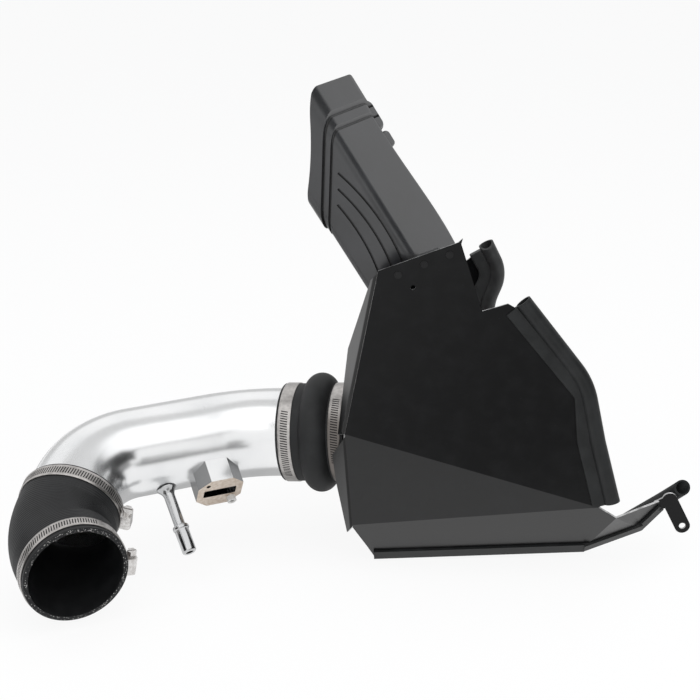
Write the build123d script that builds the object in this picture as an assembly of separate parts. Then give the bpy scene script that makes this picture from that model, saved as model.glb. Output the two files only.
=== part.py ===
from build123d import *
import os
from math import cos, pi, radians, sin, tan

# Driving dimensions, in millimetres and degrees
# X runs along the intake, Y away from the front panel and Z up
# Intake tube: a mandrel-bent aluminium tube, from the throttle elbow to the hump hose
# Its route is the throttle mouth, the elbow's corner, the main bend, the end bend and the tube's end
tube_od = 88.9
tube_wall = 2.0
main_bend_radius = 75.0
end_bend_radius = 130.0
air_route = [
    (-246.5, -110.0, 59.4),
    (-272.4, -55.2, 66.5),
    (-256.2, 39.6, 104.9),
    (-104.5, 99.7, 110.6),
    (-44.2, 87.8, 115.2),
]

# Hoses: a silicone elbow and a rubber hump hose that slide over the tube ends
hose_fit = 0.05
elbow_wall = 4.7
elbow_bend_radius = 78.0
elbow_cuff = 26.0
tube_insertion = 23.0
hump_wall = 4.6
hump_height = 10.8
hump_length = 28.0
tube_cuff = 23.0
tube_short_of_hump = 3.0
adapter_cuff = 17.0

# Worm-drive hose clamps
band_width = 12.7
band_thickness = 0.8
band_inset = 2.5
housing_length = 17.0
housing_height = 9.0
housing_width = 14.5
screw_radius = 3.4
screw_clearance = 0.2
screw_tail = 2.5
screw_head_radius = 4.8
screw_head_length = 5.5
screw_slot = 1.2
elbow_tube_screw = Vector(1, -0.2, -0.25)
elbow_throttle_screw = Vector(1, 0.6, -0.15)
hump_tube_screw = Vector(0, 0.5, -1)
hump_adapter_screw = Vector(0, 1, 0.4)
filter_screw = Vector(0, 0.6, 1)

# Sensor block, welded to the underside of the tube
maf_station = 116.0
maf_direction = Vector(0.322, -0.757, -0.568)
maf_face_radius = 62.5
maf_length = 46.0
maf_width = 46.0
maf_corner_cut = 12.0
maf_slot_length = 33.0
maf_slot_width = 12.0
maf_slot_corner = 1.5
maf_screw_radius = 2.1
maf_screw_depth = 11.0
maf_screw_along = 13.0
maf_screw_across = 14.0
spacer_radius = 4.6
spacer_height = 5.0

# Vent nipple, welded to the underside of the tube
vent_station = 64.0
vent_direction = Vector(0.365, -0.644, -0.672)
vent_length = 70.0
vent_pipe_radius = 5.5
vent_bore_radius = 3.8
vent_bead_radius = 8.0
vent_bead_width = 5.0
vent_barrel_radius = 7.0
vent_barrel_length = 24.0
vent_boss_radius = 10.0
vent_boss_height = 7.0
vent_fit = 0.1

# Heat shield: folded steel sheet. Its corners are the front fold's left end, the hip and the rim,
# and flat outlines on the front panel count from the fold's left end
sheet = 2.0
front_lean = 7.0
shield_corners = [(-5.0, 0.0, 150.0), (2.0, 3.0, 53.0), (24.0, 35.0, 3.0)]
shield_middle = (85.0, 80.0, 120.0)
panel_top_left = (31.0, 157.0)
panel_top_right = (105.0, 183.6)
panel_hook_tip = (109.0, 187.3)
panel_hook_foot = (107.6, 182.2)
panel_notch_low = (128.0, 119.0)
panel_notch_high = (152.0, 126.0)
panel_edge = [(159.0, 122.0), (227.0, 40.0), (231.0, -6.0), (248.0, -70.0)]
panel_edge_radii = [16.0, 40.0]
bulb_edge = [(166.0, 128.0), (227.5, 50.0), (240.0, -8.0), (256.0, -68.0)]
bulb_edge_radii = [75.0, 60.0]
panel_low_right = (243.0, -73.0)
strip_low_right = (223.0, 76.0)
strip_arm_fold = (255.0, 22.0)
drain_hole_radius = 2.2
drain_hole_place = (63.5, 141.5)

# Arm to the right of the tucked strip: its upper tip, its lower tip and the bend of its lower edge
arm_corners = [(306.8, 40.0, 60.6), (311.0, 50.0, 48.6), (290.6, 46.0, 28.4)]

# Mounting tab at the end of the arm, as (X, Z) places on an upright plane
tab_reach = 332.3
tab_drop = 28.0
tab_depth = 44.0
tab_top = (317.9, 59.8)
tab_root = (304.9, 53.1)
tab_root_width = 11.0
tab_width = 15.4
tab_hole_radius = 3.3
tab_thickness = 2.5

# Side panel with the tube's hole, square to the tube's end, and the rear wall
side_station = 58.0
side_flange = 14.0
side_hole_clearance = 1.5
side_low = 85.0
side_high = 75.0
side_front_low = 56.0
side_front_high = 22.0
side_front_cut = 38.0
rear_depth = 160.0
rear_left = 22.0
rear_left_height = 190.0
rear_edge = [(131.0, 285.0), (145.0, 260.0), (130.0, 226.0), (145.0, 150.0)]
rear_edge_radii = [24.0, 40.0]
rear_bulb = [(137.5, 292.0), (153.0, 261.0), (139.0, 225.0), (153.0, 151.0)]
rear_bulb_radii = [34.0, 55.0]
rear_cut_facing = Vector(-0.35, -0.55, 0.76)
rear_low_right = 205.0

# Narrow return strip beside the front panel's left edge
return_gap = 2.5
return_leg = 10.0
return_upper = [(18.7, 36.8, 291.5), (-2.0, 47.9, 219.0), (-11.6, 22.0, 140.4)]
return_lower = [(-17.4, 22.9, 118.4), (-13.6, 22.0, 90.2), (-2.5, 15.8, 39.2)]
return_foot = (20.0, 42.0, 6.0)

# Bulb seals: a ribbed grip on the sheet edge and a hollow bulb
grip_depth = 11.0
grip_width = 7.0
bulb_radius = 7.8
bulb_wall = 1.8
rim_lap = 1.0
rim_bulb_turns = [(270.8, 48.2, 31.2), (316.0, 66.5, 50.0)]
rim_bulb_end = (333.5, 62.0, 65.4)
rim_bulb_radii = [80.0, 80.0, 25.0]
rim_cut_facing = Vector(0.33, -0.69, 0.64)

# Air scoop: a rounded rectangular duct with a stepped collar and an oblique mouth
scoop_place = (56.6, 29.0)
scoop_height = 317.0
scoop_axis = Vector(-0.523, 0.0, 0.852)
scoop_turn = 64.6
scoop_depth = 81.0
scoop_width = 65.0
scoop_radius = 9.0
scoop_wall = 2.6
scoop_top = 176.6
scoop_bottom = -45.0
mouth_slope_width = 1.361
mouth_slope_depth = 0.246
collar_length = 26.0
collar_step = 4.0
collar_radius = 16.0
neck_length = 37.0
neck_step = 1.6
neck_radius = 13.0
seam_width = 3.0
seam_depth = 1.0
groove_tops = [(19.0, 101.0), (28.5, 87.5), (38.2, 74.0)]
groove_middles = [(9.0, 61.0), (20.6, 49.5), (35.0, 43.0)]
groove_ends = [(24.0, -43.0), (39.0, -43.0), (55.0, -43.0)]
groove_width = 2.6
groove_depth = 1.3
belly_heights = [-45.0, 3.0, 82.0, 150.0, 250.0]
belly_depths = [85.0, 89.0, 82.0, 81.0, 81.0]
mouth_hollow = 4.0
lug_heights = [117.0, 90.0]
lug_lengths = [34.0, 17.0]
lug_width = 26.0
lug_inset = 1.5
lug_rise = [8.5, 8.0]
lug_round = 3.0
tongue_drop = 1.0
tongue_height = 18.0
tongue_thickness = 3.0
tongue_web = 30.0
rivet_places = [(49.5, 153.0), (73.5, 163.0), (97.0, 172.0)]
rivet_radius = 1.7
rivet_head_radius = 3.4
rivet_head_height = 0.9

# Filter adapter: flanged stub bolted to the side panel
adapter_wall = 3.0
adapter_flange_radius = 64.0
adapter_flange = 4.0
adapter_stub = 34.0
adapter_screw_circle = 57.0
adapter_screw_radius = 2.4
adapter_screw_head = 4.6
adapter_screw_head_height = 2.6
adapter_screw_count = 6
adapter_insertion = 15.0

# Pleated cone filter on the adapter's inner stub
filter_fit = 0.05
filter_neck_wall = 4.5
filter_neck = 20.0
filter_base_radius = 61.0
filter_base = 12.0
filter_length = 70.0
pleat_count = 40
pleat_depth = 9.0
pleat_base_radius = 59.0
pleat_tip_radius = 46.0
pleat_inner_base = 43.0
pleat_inner_tip = 32.0
filter_cap_radius = 48.0
filter_cap = 12.0

tube_radius = tube_od / 2
throttle_mouth, elbow_corner, main_corner, end_corner, tube_end = [Vector(*place) for place in air_route]
fold_corner, hip_corner, rim_corner = [Vector(*place) for place in shield_corners]
arm_tip_high, arm_tip_low, arm_bend = [Vector(*place) for place in arm_corners]
inside = Vector(*shield_middle)
parts = {}


def unit(vector):
    return vector.normalized()


def bend_tangent(before, corner, after, radius):
    """Length of straight that a bend takes up on each side of its corner."""
    turn = (corner - before).get_angle(after - corner)
    return radius * tan(radians(turn / 2))


def bent_rod(points, radii, radius):
    """Round bar along straight runs joined by tangent arcs."""
    path = FilletPolyline(*points, radius=radii)
    start = Plane(origin=path @ 0, z_dir=path % 0)
    return sweep(start * Circle(radius), path=path)


def turned(frame, outline):
    """Body of revolution about the frame's Z axis, from (radius, height) points."""
    profile = Plane.XZ * make_face(Polyline(*outline, close=True))
    return frame * revolve(profile, axis=Axis.Z)


def facet(points, thickness, inside):
    """Flat piece of sheet: the points lie on its outer face and the thickness goes towards inside.
    The first, middle and last points set the plane, and the others are dropped onto it."""
    across = points[len(points) // 2] - points[0]
    normal = unit(across.cross(points[-1] - points[0]))
    if normal.dot(inside - points[0]) < 0:
        normal = -normal
    flat = [point - normal * normal.dot(point - points[0]) for point in points]
    return extrude(Face(Wire.make_polygon(flat)), amount=thickness, dir=normal)


def hose_clamp(name, centre, axis, radius, toward):
    """Worm-drive clamp: band round the hose, screw housing on the side facing toward, and its screw."""
    frame = Plane(origin=centre, x_dir=toward - axis * toward.dot(axis), z_dir=axis)
    seat = radius + band_thickness
    band = Cylinder(seat, band_width) - Cylinder(radius, band_width)
    screw_height = seat + housing_height / 2
    saddle_block = Box(1.5 * housing_height, housing_length, housing_width)
    saddle = Pos(screw_height - housing_height / 4, 0, 0) * saddle_block
    crown = saddle.edges().filter_by(Axis.Y).group_by(Axis.X)[-1]
    saddle = fillet(crown, housing_height / 3) - Cylinder(seat, 2 * housing_width)
    along_screw = Pos(screw_height, 0, 0) * Rot(90, 0, 0)
    housing = saddle - along_screw * Cylinder(screw_radius + screw_clearance, 2 * housing_length)
    shank = Pos(0, 0, -screw_tail / 2) * Cylinder(screw_radius, housing_length + screw_tail)
    head_place = housing_length / 2 + screw_head_length / 2
    hex_head = extrude(RegularPolygon(screw_head_radius, 6), screw_head_length / 2, both=True)
    head = Pos(0, 0, head_place) * hex_head
    slot_place = head_place + screw_head_length / 2
    slot = Pos(0, 0, slot_place) * Box(3 * screw_head_radius, screw_slot, screw_head_length)
    screw = along_screw * (shank + head - slot)
    parts[name + "_band"] = frame * band
    parts[name + "_housing"] = frame * housing
    parts[name + "_screw"] = frame * screw


# Throttle elbow: silicone hose over the throttle and over the tube's first end
elbow_tangent = bend_tangent(throttle_mouth, elbow_corner, main_corner, elbow_bend_radius)
elbow_in = unit(elbow_corner - throttle_mouth)
elbow_out = unit(main_corner - elbow_corner)
elbow_end = elbow_corner + elbow_out * (elbow_tangent + elbow_cuff)
elbow_bore = tube_radius + hose_fit
elbow_radius = elbow_bore + elbow_wall
elbow_run = [throttle_mouth, elbow_corner, elbow_end]
elbow_reach = [throttle_mouth - elbow_in, elbow_corner, elbow_end + elbow_out]
elbow_solid = bent_rod(elbow_run, [elbow_bend_radius], elbow_radius)
parts["throttle_elbow"] = elbow_solid - bent_rod(elbow_reach, [elbow_bend_radius], elbow_bore)

clamp_offset = band_inset + band_width / 2
tube_clamp = elbow_end - elbow_out * clamp_offset
hose_clamp("elbow_tube_clamp", tube_clamp, elbow_out, elbow_radius + hose_fit, elbow_tube_screw)
throttle_clamp = throttle_mouth + elbow_in * (clamp_offset + band_inset)
hose_clamp("elbow_throttle_clamp", throttle_clamp, elbow_in, elbow_radius + hose_fit, elbow_throttle_screw)

# Intake tube, with the sensor's slot and the vent's hole through its wall
tube_axis = unit(tube_end - end_corner)
middle_axis = unit(end_corner - main_corner)
tube_start = elbow_end - elbow_out * tube_insertion
tube_run = [tube_start, main_corner, end_corner, tube_end]
tube_reach = [tube_start - elbow_out, main_corner, end_corner, tube_end + tube_axis]
tube_radii = [main_bend_radius, end_bend_radius]
tube_solid = bent_rod(tube_run, tube_radii, tube_radius)
tube_shell = tube_solid - bent_rod(tube_reach, tube_radii, tube_radius - tube_wall)

maf_root = main_corner + middle_axis * maf_station
maf_frame = Plane(origin=maf_root, x_dir=middle_axis, z_dir=maf_direction)
maf_slot_outline = RectangleRounded(maf_slot_length, maf_slot_width, maf_slot_corner)
maf_slot = maf_frame * extrude(maf_slot_outline, 2 * maf_face_radius)
vent_root = main_corner + middle_axis * vent_station
vent_frame = Plane(origin=vent_root, x_dir=middle_axis, z_dir=vent_direction)
vent_hole = vent_frame * extrude(Circle(vent_pipe_radius + vent_fit), 2 * tube_radius)
parts["intake_tube"] = tube_shell - maf_slot - vent_hole

# Sensor block: lozenge seat saddled on the tube, with the sensor slot and two screw holes
maf_outline = chamfer(Rectangle(maf_length, maf_width).vertices(), maf_corner_cut)
maf_block = maf_frame * extrude(maf_outline, maf_face_radius) - tube_solid - maf_slot
maf_face = maf_frame.offset(maf_face_radius)
maf_near_hole = Pos(-maf_screw_along, maf_screw_across, 0)
maf_far_hole = Pos(maf_screw_along, -maf_screw_across, 0)
for place in (maf_near_hole, maf_far_hole):
    maf_block -= maf_face * place * extrude(Circle(maf_screw_radius), -maf_screw_depth)
parts["maf_mount"] = max(maf_block.solids(), key=lambda solid: solid.volume)
spacer = Circle(spacer_radius) - Circle(maf_screw_radius)
parts["maf_spacer"] = maf_face * maf_far_hole * extrude(spacer, spacer_height)

# Vent nipple: pipe with a weld boss, a stop bead and a barrel end
vent_tip = tube_radius + vent_length
bead_top = vent_tip - vent_barrel_length
bead_low = bead_top - vent_bead_width
boss_top = tube_radius + vent_boss_height
vent_outline = [
    (vent_bore_radius, tube_radius - tube_wall),
    (vent_pipe_radius, tube_radius - tube_wall),
    (vent_pipe_radius, boss_top),
    (vent_pipe_radius, bead_low),
    (vent_bead_radius, bead_low + vent_bead_width / 4),
    (vent_bead_radius, bead_top - vent_bead_width / 4),
    (vent_barrel_radius, bead_top),
    (vent_barrel_radius, vent_tip - vent_barrel_radius + vent_pipe_radius),
    (vent_pipe_radius, vent_tip),
    (vent_bore_radius, vent_tip),
]
boss_outline = [
    (vent_bore_radius, tube_radius - tube_wall),
    (vent_boss_radius, tube_radius - tube_wall),
    (vent_boss_radius, tube_radius + vent_boss_height / 4),
    (vent_pipe_radius, boss_top),
    (vent_bore_radius, boss_top),
]
vent_boss = turned(vent_frame, boss_outline) - tube_solid
vent_pipe = turned(vent_frame, vent_outline)
parts["vent_nipple"] = vent_pipe + vent_boss

# Hump hose: joins the tube to the filter adapter, with one round hump between its cuffs
hump_bore = tube_radius + hose_fit
hump_radius = hump_bore + hump_wall
hump_frame = Plane(origin=tube_end, x_dir=(0, 0, 1), z_dir=tube_axis)
hose_start = tube_short_of_hump - tube_cuff
hump_start = hose_start + tube_cuff
hump_stop = hump_start + hump_length
hose_stop = hump_stop + adapter_cuff
hump_middle = (hump_start + hump_stop) / 2
hump_crest = (hump_radius + hump_height, hump_middle)
hump_hollow = (hump_bore + hump_height, hump_middle)
hump_edges = [
    Line((hump_bore, hose_start), (hump_radius, hose_start)),
    Line((hump_radius, hose_start), (hump_radius, hump_start)),
    ThreePointArc((hump_radius, hump_start), hump_crest, (hump_radius, hump_stop)),
    Line((hump_radius, hump_stop), (hump_radius, hose_stop)),
    Line((hump_radius, hose_stop), (hump_bore, hose_stop)),
    Line((hump_bore, hose_stop), (hump_bore, hump_stop)),
    ThreePointArc((hump_bore, hump_stop), hump_hollow, (hump_bore, hump_start)),
    Line((hump_bore, hump_start), (hump_bore, hose_start)),
]
hump_profile = Plane.XZ * make_face(hump_edges)
parts["hump_coupler"] = hump_frame * revolve(hump_profile, axis=Axis.Z)
clamp_radius = hump_radius + hose_fit
hump_clamp = tube_end + tube_axis * (hose_start + clamp_offset)
hose_clamp("hump_tube_clamp", hump_clamp, tube_axis, clamp_radius, hump_tube_screw)
adapter_clamp = tube_end + tube_axis * (hose_stop - band_width / 2 - band_inset)
hose_clamp("hump_adapter_clamp", adapter_clamp, tube_axis, clamp_radius, hump_adapter_screw)

# Filter adapter: outer stub in the hump hose, flange behind the side panel, inner stub for the filter
flange_start = side_station + sheet
flange_stop = flange_start + adapter_flange
stub_stop = flange_stop + adapter_stub
adapter_outline = [
    (tube_radius - adapter_wall, hose_stop - adapter_insertion),
    (tube_radius, hose_stop - adapter_insertion),
    (tube_radius, flange_start),
    (adapter_flange_radius, flange_start),
    (adapter_flange_radius, flange_stop),
    (tube_radius, flange_stop),
    (tube_radius, stub_stop),
    (tube_radius - adapter_wall, stub_stop),
]
screw_ring = PolarLocations(adapter_screw_circle, adapter_screw_count)
screw_hole_ring = Sketch() + screw_ring * Circle(adapter_screw_radius + screw_clearance)
screw_holes = hump_frame * extrude(screw_hole_ring, 2 * stub_stop)
parts["filter_adapter"] = turned(hump_frame, adapter_outline) - screw_holes
screw_shanks = extrude(Sketch() + screw_ring * Circle(adapter_screw_radius), flange_stop - side_station)
screw_heads = extrude(Sketch() + screw_ring * Circle(adapter_screw_head), -adapter_screw_head_height)
parts["adapter_screws"] = hump_frame * Pos(0, 0, side_station) * (screw_shanks + screw_heads)

# Cone filter: moulded neck and base, pleated media, moulded cap
neck_bore = tube_radius + filter_fit
filter_neck_radius = neck_bore + filter_neck_wall
neck_start = flange_stop + band_inset
base_start = neck_start + filter_neck
base_stop = base_start + filter_base
media_stop = base_stop + filter_length
cap_stop = media_stop + filter_cap
base_outline = [
    (neck_bore, neck_start),
    (filter_neck_radius, neck_start),
    (filter_neck_radius, base_start),
    (filter_base_radius, base_start + filter_base / 4),
    (filter_base_radius, base_stop),
    (neck_bore, base_stop),
]
parts["filter_base"] = turned(hump_frame, base_outline)


def pleat_star(outer):
    """Star outline of the folded media, one point out and one point in for each pleat."""
    points = []
    for step in range(2 * pleat_count):
        radius = outer - pleat_depth * (step % 2)
        turn = pi * step / pleat_count
        points.append((radius * cos(turn), radius * sin(turn)))
    return make_face(Polyline(*points, close=True))


media_low = Pos(0, 0, base_stop)
media_high = Pos(0, 0, media_stop)
pleat_low = media_low * pleat_star(pleat_base_radius)
pleat_high = media_high * pleat_star(pleat_tip_radius)
media_skin = loft([pleat_low, pleat_high], ruled=True)
media_core = loft([media_low * Circle(pleat_inner_base), media_high * Circle(pleat_inner_tip)])
parts["filter_media"] = hump_frame * (media_skin - media_core)
cap_outline = [
    (0, media_stop),
    (filter_cap_radius, media_stop),
    (filter_cap_radius, cap_stop - filter_cap / 4),
    (filter_cap_radius - filter_cap / 4, cap_stop),
    (0, cap_stop),
]
parts["filter_cap"] = turned(hump_frame, cap_outline)
filter_clamp = tube_end + tube_axis * (neck_start + band_inset + band_width / 2)
hose_clamp("filter_clamp", filter_clamp, tube_axis, filter_neck_radius + filter_fit, filter_screw)

# Front panel: leaning face, lower facet, tucked strip and arm, folded from one sheet
front_out = Vector(0, -cos(radians(front_lean)), sin(radians(front_lean)))
front_frame = Plane(origin=fold_corner, x_dir=(1, 0, 0), z_dir=front_out)
low_right = front_frame.from_local_coords(Vector(*panel_low_right, 0))
seal_edge = FilletPolyline(*panel_edge, radius=panel_edge_radii)
panel_side = Polyline(
    panel_edge[-1],
    panel_low_right,
    (0, 0),
    panel_top_left,
    panel_top_right,
    panel_hook_tip,
    panel_hook_foot,
    panel_notch_low,
    panel_notch_high,
    panel_edge[0],
)
panel_face = make_face(seal_edge.edges() + panel_side.edges())
drain_hole = Pos(*drain_hole_place) * Circle(drain_hole_radius)
rivet_holes = [Pos(*place) * Circle(rivet_radius + vent_fit) for place in rivet_places]
panel = front_frame * extrude(panel_face - drain_hole - rivet_holes, -sheet)
lower_facet = facet([fold_corner, low_right, hip_corner], sheet, inside)
strip_normal = (low_right - hip_corner).cross(rim_corner - hip_corner)
strip_frame = Plane(origin=hip_corner, x_dir=low_right - hip_corner, z_dir=strip_normal)
rim_right = strip_frame.from_local_coords(Vector(*strip_low_right, 0))
arm_fold = strip_frame.from_local_coords(Vector(*strip_arm_fold, 0))
strip = facet([hip_corner, low_right, arm_fold, rim_right, rim_corner], sheet, inside)
arm = facet([arm_fold, arm_bend, rim_right], sheet, inside)
arm += facet([arm_fold, arm_tip_high, arm_tip_low, arm_bend], sheet, inside)
tab_frame = Plane(origin=(0, tab_depth, 0), x_dir=(1, 0, 0), z_dir=(0, -1, 0))
tab_hole = (tab_reach, tab_top[1] - tab_drop)
tab_outline = trace(Line(tab_root, tab_top), tab_root_width) + trace(Line(tab_top, tab_hole), tab_width)
for place in (tab_top, tab_hole):
    tab_outline += Pos(*place) * Circle(tab_width / 2)
tab_outline -= Pos(*tab_hole) * Circle(tab_hole_radius)
tab = tab_frame * extrude(tab_outline, -tab_thickness)
parts["front_panel"] = panel + lower_facet + strip + arm + tab

# Bulb seals: the grip clasps the sheet edge and the bulb lies beyond it or beside it
grip = RectangleRounded(grip_depth + sheet, grip_width, grip_width / 4)
bulb_skin = Circle(bulb_radius)
bulb_hole = Circle(bulb_radius - bulb_wall)
bulb = bulb_skin - bulb_hole


def edge_seal(frame, edge, bulb_line, into_sheet):
    """Seal along an edge drawn on the frame's sheet, with its bulb along a line of its own."""
    level = Pos(0, 0, -sheet / 2)
    grip_path = frame * level * edge
    bulb_path = frame * level * bulb_line
    grip_frame = Plane(origin=grip_path @ 0, x_dir=into_sheet, z_dir=grip_path % 0)
    bulb_frame = Plane(origin=bulb_path @ 0, z_dir=bulb_path % 0)
    seal = sweep(grip_frame * Pos((grip_depth - sheet) / 2, 0) * grip, path=grip_path)
    seal += sweep(bulb_frame * bulb_skin, path=bulb_path)
    return seal - sweep(bulb_frame * bulb_hole, path=bulb_path)


bulb_run = FilletPolyline(*bulb_edge, radius=bulb_edge_radii)
right_inward = (front_frame * seal_edge % 0).cross(front_out)
parts["right_seal"] = edge_seal(front_frame, seal_edge, bulb_run, right_inward) - parts["front_panel"]


def seal_grip(corners, facings):
    """Grip that clasps a run of lower sheet edges, each straight run lapping a little over the next."""
    outline = Pos(sheet / 2, (grip_depth - sheet) / 2) * Rectangle(grip_width, grip_depth + sheet)
    runs = Part()
    for start, end, facing in zip(corners, corners[1:], facings):
        frame = Plane(origin=start, x_dir=-facing, z_dir=end - start)
        runs += frame * extrude(outline, (end - start).length + rim_lap)
    return runs


def outward(points):
    """Unit normal of a facet, pointing away from the inside of the shield."""
    normal = unit((points[1] - points[0]).cross(points[2] - points[0]))
    return normal if normal.dot(points[0] - inside) > 0 else -normal


strip_out = outward([hip_corner, low_right, rim_corner])
arm_out = [outward([arm_fold, arm_bend, rim_right]), outward([arm_fold, arm_tip_low, arm_bend])]
rim_line = [rim_corner, rim_right, arm_bend, arm_tip_low]
rim_frame = Plane(origin=rim_corner, x_dir=-strip_out, z_dir=rim_right - rim_corner)
bulb_inset = sheet / 2 + grip_width / 2 + bulb_radius - bulb_wall
bulb_start = rim_frame.from_local_coords(Vector(bulb_inset, bulb_radius - sheet, 0))
bulb_end = Vector(*rim_bulb_end)
bulb_turns = [Vector(*place) for place in rim_bulb_turns]
bulb_overrun = bulb_end + unit(bulb_end - bulb_turns[-1]) * 2 * bulb_radius
rim_bulb = [bulb_start, bulb_start + rim_right - rim_corner, *bulb_turns, bulb_overrun]
rim_cut = Plane(origin=bulb_end, z_dir=rim_cut_facing)
rim_skin = split(bent_rod(rim_bulb, rim_bulb_radii, bulb_radius), bisect_by=rim_cut, keep=Keep.BOTTOM)
rim_hole = bent_rod(rim_bulb, rim_bulb_radii, bulb_radius - bulb_wall)
rim_seal = seal_grip(rim_line, [strip_out, *arm_out]) + rim_skin - rim_hole
parts["rim_seal"] = rim_seal - parts["front_panel"]

# Rear wall, flat and upright, with a bulb seal on the upper part of its right edge
rear_frame = Plane(origin=(0, rear_depth, 0), x_dir=(1, 0, 0), z_dir=(0, -1, 0))
rear_seal_edge = FilletPolyline(*rear_edge, radius=rear_edge_radii)
rear_side = Polyline(
    rear_edge[-1],
    (rear_low_right, 0),
    (rear_left, 0),
    (rear_left, rear_left_height),
    rear_edge[0],
)
parts["rear_panel"] = rear_frame * extrude(make_face(rear_seal_edge.edges() + rear_side.edges()), sheet)
rear_panel_frame = Plane(origin=(0, rear_depth - sheet, 0), x_dir=(1, 0, 0), z_dir=(0, -1, 0))
rear_bulb_run = FilletPolyline(*rear_bulb, radius=rear_bulb_radii)
rear_inward = (rear_frame * rear_seal_edge % 0).cross(rear_frame.z_dir)
rear_seal = edge_seal(rear_panel_frame, rear_seal_edge, rear_bulb_run, rear_inward) - parts["rear_panel"]
rear_cut = Plane(origin=rear_panel_frame.from_local_coords(Vector(*rear_bulb[0], 0)), z_dir=rear_cut_facing)
parts["rear_seal"] = split(rear_seal, bisect_by=rear_cut, keep=Keep.BOTTOM)

# Side panel: hole plate square to the tube, with flanges against the lower facet and the rear wall
side_centre = tube_end + tube_axis * side_station
side_back = unit(Vector(0, 0, 1).cross(tube_axis))
side_frame = Plane(origin=side_centre, x_dir=side_back, z_dir=tube_axis)
lower_out = outward([fold_corner, low_right, hip_corner])
leg_face = fold_corner - lower_out * (2 * sheet)


def front_reach(height):
    """Distance from the hole's middle to the front flange, at a height on the plate."""
    place = side_frame.from_local_coords(Vector(0, height, 0))
    return lower_out.dot(leg_face - place) / lower_out.dot(side_frame.x_dir)


rear_reach = (rear_depth - sheet - side_centre.Y) / side_back.Y
flange_low = (front_reach(-side_front_low), -side_front_low)
flange_high = (front_reach(side_front_high), side_front_high)
side_outline = Polyline(
    flange_low,
    (flange_low[0] + side_front_cut, -side_low),
    (rear_reach, -side_low),
    (rear_reach, side_high),
    (flange_high[0] + side_front_cut, side_high),
    flange_high,
    close=True,
)
plate = side_frame * extrude(make_face(side_outline), sheet)
fold_low = side_frame.from_local_coords(Vector(*flange_low, 0))
fold_high = side_frame.from_local_coords(Vector(*flange_high, 0))
flange_along = (tube_axis - lower_out * tube_axis.dot(lower_out)) * side_flange
plate += facet([fold_low, fold_low + flange_along, fold_high + flange_along, fold_high], sheet, inside)
back_low = side_frame.from_local_coords(Vector(rear_reach, -side_low, 0))
back_high = side_frame.from_local_coords(Vector(rear_reach, side_high, 0))
back_along = Vector(side_flange, 0, 0)
plate += facet([back_low, back_low + back_along, back_high + back_along, back_high], sheet, inside)
side_hole = hump_frame * Cylinder(tube_radius + side_hole_clearance, 4 * side_station)
parts["side_panel"] = plate - side_hole - screw_holes - parts["front_panel"] - parts["rear_panel"]

# Return strip: legs behind the front panel's left edge, and splayed wings with a shadow gap beside it
upper_top = front_frame.from_local_coords(Vector(*panel_top_left, -sheet))
upper_low = front_frame.from_local_coords(Vector(0, 0, -sheet))
lower_top = fold_corner - lower_out * sheet
lower_low = hip_corner - lower_out * sheet
gap = Vector(return_gap, 0, 0)
leg = Vector(return_gap + return_leg, 0, 0)
upper_wing = [Vector(*place) for place in return_upper]
lower_wing = [Vector(*place) for place in return_lower]
foot_end = rim_corner - strip_out * sheet + gap
strip_piece = facet([upper_top + gap, *upper_wing, upper_low + gap], sheet, inside)
strip_piece += facet([upper_top + gap, upper_top + leg, upper_low + leg, upper_low + gap], sheet, inside)
strip_piece += facet([lower_top + gap, *lower_wing, lower_low + gap], sheet, inside)
strip_piece += facet([lower_top + gap, lower_top + leg, lower_low + leg, lower_low + gap], sheet, inside)
strip_piece += facet([lower_low + gap, lower_wing[-1], Vector(*return_foot), foot_end], sheet, inside)
parts["side_return"] = strip_piece - parts["front_panel"] - parts["side_panel"] - rim_seal

# Air scoop
scoop_square = Vector(scoop_axis.Z, 0, -scoop_axis.X)
scoop_x = scoop_square * cos(radians(scoop_turn)) + Vector(0, sin(radians(scoop_turn)), 0)
scoop_frame = Plane(origin=(*scoop_place, scoop_height), x_dir=scoop_x, z_dir=scoop_axis)
scoop_middle = Pos(scoop_depth / 2, scoop_width / 2)
mouth_normal = Vector(mouth_slope_depth, mouth_slope_width, 1)


def scoop_prism(step, radius, top_drop, low):
    """Length of duct section grown by step, from low up to the mouth plane lowered by top_drop."""
    section = RectangleRounded(scoop_depth + 2 * step, scoop_width + 2 * step, radius)
    prism = Pos(0, 0, low) * scoop_middle * extrude(section, scoop_top - low + scoop_width)
    mouth = Plane(origin=(0, 0, scoop_top - top_drop), z_dir=mouth_normal)
    return split(prism, bisect_by=mouth, keep=Keep.BOTTOM)


def scoop_band(step, radius, high_drop, low_drop):
    """Ring of duct section between two planes that lie along the mouth."""
    return scoop_prism(step, radius, high_drop, scoop_bottom) - scoop_prism(
        step + collar_step, radius, low_drop, scoop_bottom - 1
    )


def scoop_seam(step, radius, drop):
    """Shallow groove round the duct under a step in its skin."""
    ring = scoop_band(2 * collar_step, collar_radius, drop, drop + seam_width)
    return ring - scoop_prism(step - seam_depth, radius - seam_depth, 0, scoop_bottom)


def scoop_skin(step):
    """Bellied duct, grown by step, much longer than the scoop at its top."""
    sections = []
    for height, depth in zip(belly_heights, belly_depths):
        section = RectangleRounded(depth + 2 * step, scoop_width + 2 * step, scoop_radius + step)
        sections.append(Pos(depth / 2, scoop_width / 2, height) * section)
    return loft(sections)


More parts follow.
